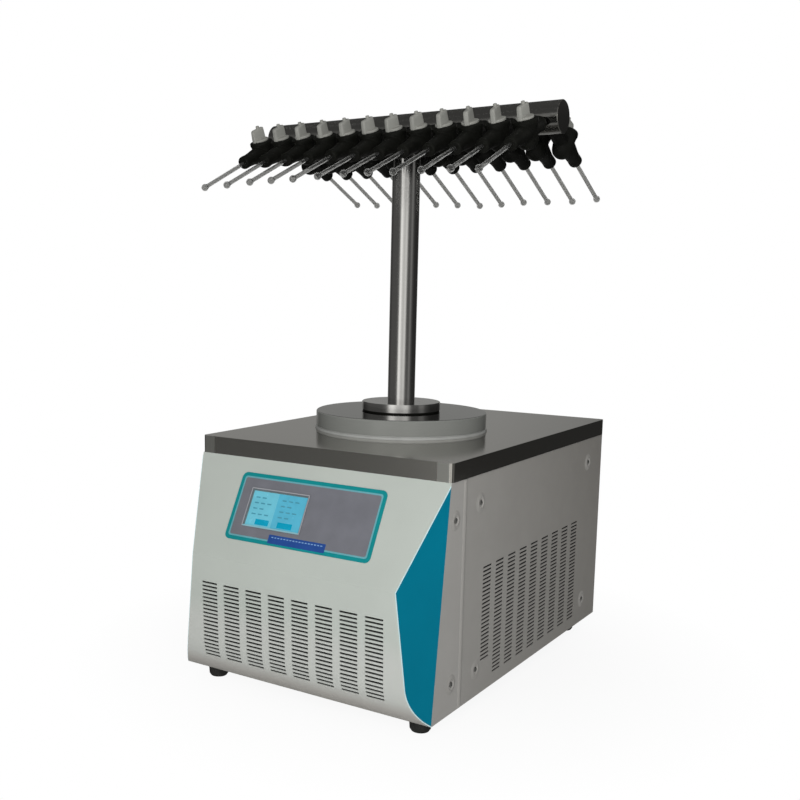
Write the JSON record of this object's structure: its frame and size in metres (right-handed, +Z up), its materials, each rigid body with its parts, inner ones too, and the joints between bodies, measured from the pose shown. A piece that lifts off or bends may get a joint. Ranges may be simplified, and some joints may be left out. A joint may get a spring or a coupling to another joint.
{
  "type": "freeze dryer",
  "caption": "Benchtop freeze dryer: louvred cabinet with a sloping control panel, round cold-trap lid, steel column and a T manifold of rubber plug valves holding glass ampoules.",
  "frame": {"origin": "on the floor, under the middle of the worktop", "axes": "+X along the manifold to the right, +Y to the rear, +Z up; the control panel faces -Y"},
  "size_m": [0.536, 0.7575, 0.916],
  "materials": {
    "casing_paint": "satin",
    "moulding_paint": "satin",
    "cheek_teal": "satin",
    "frame_zinc": "satin",
    "steel": "satin",
    "polished_steel": "polished",
    "overlay_film": "satin",
    "bezel_grey": "satin",
    "screen": "gloss",
    "board": "satin",
    "foam": "matte",
    "copper": "satin",
    "rubber": "matte",
    "white_rubber": "matte",
    "knob_grey": "satin",
    "glass": "clear",
    "compressor_black": "satin",
    "fins": "satin",
    "black_plastic": "satin",
    "rocker_red": "gloss",
    "brass": "satin",
    "lever_blue": "satin",
    "screw_steel": "polished"
  },
  "bodies": {
    "cabinet": {"chassis": "frame_zinc", "front_frame": "casing_paint", "front_fascia": "moulding_paint", "left_cheek": "cheek_teal", "right_cheek": "cheek_teal", "left_side_panel": "casing_paint", "right_side_panel": "casing_paint", "rear_panel": "casing_paint", "worktop": "steel", "control_overlay": "overlay_film", "screen_bezel": "bezel_grey", "touch_screen": "screen", "control_board": "board", "cold_trap_pot": "steel", "trap_insulation": "foam", "evaporator_coil": "copper", "trap_seal": "white_rubber", "trap_lid": "steel", "manifold_column": "polished_steel", "manifold_tube": "polished_steel", "valve_bodies": "rubber", "ampoules": "glass", "compressor": "compressor_black", "compressor_mounts": "rubber", "condenser": "fins", "fan_motor": "black_plastic", "refrigerant_lines": "copper", "panel_screws": "screw_steel", "feet": "rubber", "power_inlet": "black_plastic", "vacuum_port": "steel", "drain_pipe": "white_rubber", "drain_valve": "brass"},
    "valve_knob_front_1": {"valve_knob_front_1": "knob_grey"},
    "valve_knob_front_2": {"valve_knob_front_2": "knob_grey"},
    "valve_knob_front_3": {"valve_knob_front_3": "knob_grey"},
    "valve_knob_front_4": {"valve_knob_front_4": "knob_grey"},
    "valve_knob_front_5": {"valve_knob_front_5": "knob_grey"},
    "valve_knob_front_6": {"valve_knob_front_6": "knob_grey"},
    "valve_knob_front_7": {"valve_knob_front_7": "knob_grey"},
    "valve_knob_front_8": {"valve_knob_front_8": "knob_grey"},
    "valve_knob_front_9": {"valve_knob_front_9": "knob_grey"},
    "valve_knob_front_10": {"valve_knob_front_10": "knob_grey"},
    "valve_knob_front_11": {"valve_knob_front_11": "knob_grey"},
    "valve_knob_front_12": {"valve_knob_front_12": "knob_grey"},
    "valve_knob_rear_1": {"valve_knob_rear_1": "knob_grey"},
    "valve_knob_rear_2": {"valve_knob_rear_2": "knob_grey"},
    "valve_knob_rear_3": {"valve_knob_rear_3": "knob_grey"},
    "valve_knob_rear_4": {"valve_knob_rear_4": "knob_grey"},
    "valve_knob_rear_5": {"valve_knob_rear_5": "knob_grey"},
    "valve_knob_rear_6": {"valve_knob_rear_6": "knob_grey"},
    "valve_knob_rear_7": {"valve_knob_rear_7": "knob_grey"},
    "valve_knob_rear_8": {"valve_knob_rear_8": "knob_grey"},
    "valve_knob_rear_9": {"valve_knob_rear_9": "knob_grey"},
    "valve_knob_rear_10": {"valve_knob_rear_10": "knob_grey"},
    "valve_knob_rear_11": {"valve_knob_rear_11": "knob_grey"},
    "valve_knob_rear_12": {"valve_knob_rear_12": "knob_grey"},
    "fan": {"condenser_fan": "black_plastic"},
    "rocker": {"power_switch": "rocker_red"},
    "drain_lever": {"drain_handle": "lever_blue"}
  },
  "joints": [
    {"name": "valve_knob_front_1_turn", "type": "hinge", "parent": "cabinet", "child": "valve_knob_front_1", "pos_m": [-0.2539, -0.10772, 0.86013], "axis": [0, -0.3907, 0.9205], "continuous": true},
    {"name": "valve_knob_front_2_turn", "type": "hinge", "parent": "cabinet", "child": "valve_knob_front_2", "pos_m": [-0.2101, -0.10772, 0.86013], "axis": [0, -0.3907, 0.9205], "continuous": true},
    {"name": "valve_knob_front_3_turn", "type": "hinge", "parent": "cabinet", "child": "valve_knob_front_3", "pos_m": [-0.1663, -0.10772, 0.86013], "axis": [0, -0.3907, 0.9205], "continuous": true},
    {"name": "valve_knob_front_4_turn", "type": "hinge", "parent": "cabinet", "child": "valve_knob_front_4", "pos_m": [-0.1225, -0.10772, 0.86013], "axis": [0, -0.3907, 0.9205], "continuous": true},
    {"name": "valve_knob_front_5_turn", "type": "hinge", "parent": "cabinet", "child": "valve_knob_front_5", "pos_m": [-0.0787, -0.10772, 0.86013], "axis": [0, -0.3907, 0.9205], "continuous": true},
    {"name": "valve_knob_front_6_turn", "type": "hinge", "parent": "cabinet", "child": "valve_knob_front_6", "pos_m": [-0.0349, -0.10772, 0.86013], "axis": [0, -0.3907, 0.9205], "continuous": true},
    {"name": "valve_knob_front_7_turn", "type": "hinge", "parent": "cabinet", "child": "valve_knob_front_7", "pos_m": [0.0089, -0.10772, 0.86013], "axis": [0, -0.3907, 0.9205], "continuous": true},
    {"name": "valve_knob_front_8_turn", "type": "hinge", "parent": "cabinet", "child": "valve_knob_front_8", "pos_m": [0.0527, -0.10772, 0.86013], "axis": [0, -0.3907, 0.9205], "continuous": true},
    {"name": "valve_knob_front_9_turn", "type": "hinge", "parent": "cabinet", "child": "valve_knob_front_9", "pos_m": [0.0965, -0.10772, 0.86013], "axis": [0, -0.3907, 0.9205], "continuous": true},
    {"name": "valve_knob_front_10_turn", "type": "hinge", "parent": "cabinet", "child": "valve_knob_front_10", "pos_m": [0.1403, -0.10772, 0.86013], "axis": [0, -0.3907, 0.9205], "continuous": true},
    {"name": "valve_knob_front_11_turn", "type": "hinge", "parent": "cabinet", "child": "valve_knob_front_11", "pos_m": [0.1841, -0.10772, 0.86013], "axis": [0, -0.3907, 0.9205], "continuous": true},
    {"name": "valve_knob_front_12_turn", "type": "hinge", "parent": "cabinet", "child": "valve_knob_front_12", "pos_m": [0.2279, -0.10772, 0.86013], "axis": [0, -0.3907, 0.9205], "continuous": true},
    {"name": "valve_knob_rear_1_turn", "type": "hinge", "parent": "cabinet", "child": "valve_knob_rear_1", "pos_m": [-0.2539, 0.03772, 0.86013], "axis": [0, 0.3907, 0.9205], "continuous": true},
    {"name": "valve_knob_rear_2_turn", "type": "hinge", "parent": "cabinet", "child": "valve_knob_rear_2", "pos_m": [-0.2101, 0.03772, 0.86013], "axis": [0, 0.3907, 0.9205], "continuous": true},
    {"name": "valve_knob_rear_3_turn", "type": "hinge", "parent": "cabinet", "child": "valve_knob_rear_3", "pos_m": [-0.1663, 0.03772, 0.86013], "axis": [0, 0.3907, 0.9205], "continuous": true},
    {"name": "valve_knob_rear_4_turn", "type": "hinge", "parent": "cabinet", "child": "valve_knob_rear_4", "pos_m": [-0.1225, 0.03772, 0.86013], "axis": [0, 0.3907, 0.9205], "continuous": true},
    {"name": "valve_knob_rear_5_turn", "type": "hinge", "parent": "cabinet", "child": "valve_knob_rear_5", "pos_m": [-0.0787, 0.03772, 0.86013], "axis": [0, 0.3907, 0.9205], "continuous": true},
    {"name": "valve_knob_rear_6_turn", "type": "hinge", "parent": "cabinet", "child": "valve_knob_rear_6", "pos_m": [-0.0349, 0.03772, 0.86013], "axis": [0, 0.3907, 0.9205], "continuous": true},
    {"name": "valve_knob_rear_7_turn", "type": "hinge", "parent": "cabinet", "child": "valve_knob_rear_7", "pos_m": [0.0089, 0.03772, 0.86013], "axis": [0, 0.3907, 0.9205], "continuous": true},
    {"name": "valve_knob_rear_8_turn", "type": "hinge", "parent": "cabinet", "child": "valve_knob_rear_8", "pos_m": [0.0527, 0.03772, 0.86013], "axis": [0, 0.3907, 0.9205], "continuous": true},
    {"name": "valve_knob_rear_9_turn", "type": "hinge", "parent": "cabinet", "child": "valve_knob_rear_9", "pos_m": [0.0965, 0.03772, 0.86013], "axis": [0, 0.3907, 0.9205], "continuous": true},
    {"name": "valve_knob_rear_10_turn", "type": "hinge", "parent": "cabinet", "child": "valve_knob_rear_10", "pos_m": [0.1403, 0.03772, 0.86013], "axis": [0, 0.3907, 0.9205], "continuous": true},
    {"name": "valve_knob_rear_11_turn", "type": "hinge", "parent": "cabinet", "child": "valve_knob_rear_11", "pos_m": [0.1841, 0.03772, 0.86013], "axis": [0, 0.3907, 0.9205], "continuous": true},
    {"name": "valve_knob_rear_12_turn", "type": "hinge", "parent": "cabinet", "child": "valve_knob_rear_12", "pos_m": [0.2279, 0.03772, 0.86013], "axis": [0, 0.3907, 0.9205], "continuous": true},
    {"name": "fan_spin", "type": "hinge", "parent": "cabinet", "child": "fan", "pos_m": [0, -0.2955, 0.098], "axis": [0, 1, 0], "continuous": true},
    {"name": "power_switch_rock", "type": "hinge", "parent": "cabinet", "child": "rocker", "pos_m": [0.1635, 0.3055, 0.095], "axis": [1, 0, 0], "range_deg": [-16, 0]},
    {"name": "drain_lever_turn", "type": "hinge", "parent": "cabinet", "child": "drain_lever", "pos_m": [0.062, 0.3325, 0.073], "axis": [0, 0, 1], "range_deg": [0, 90]}
  ]
}
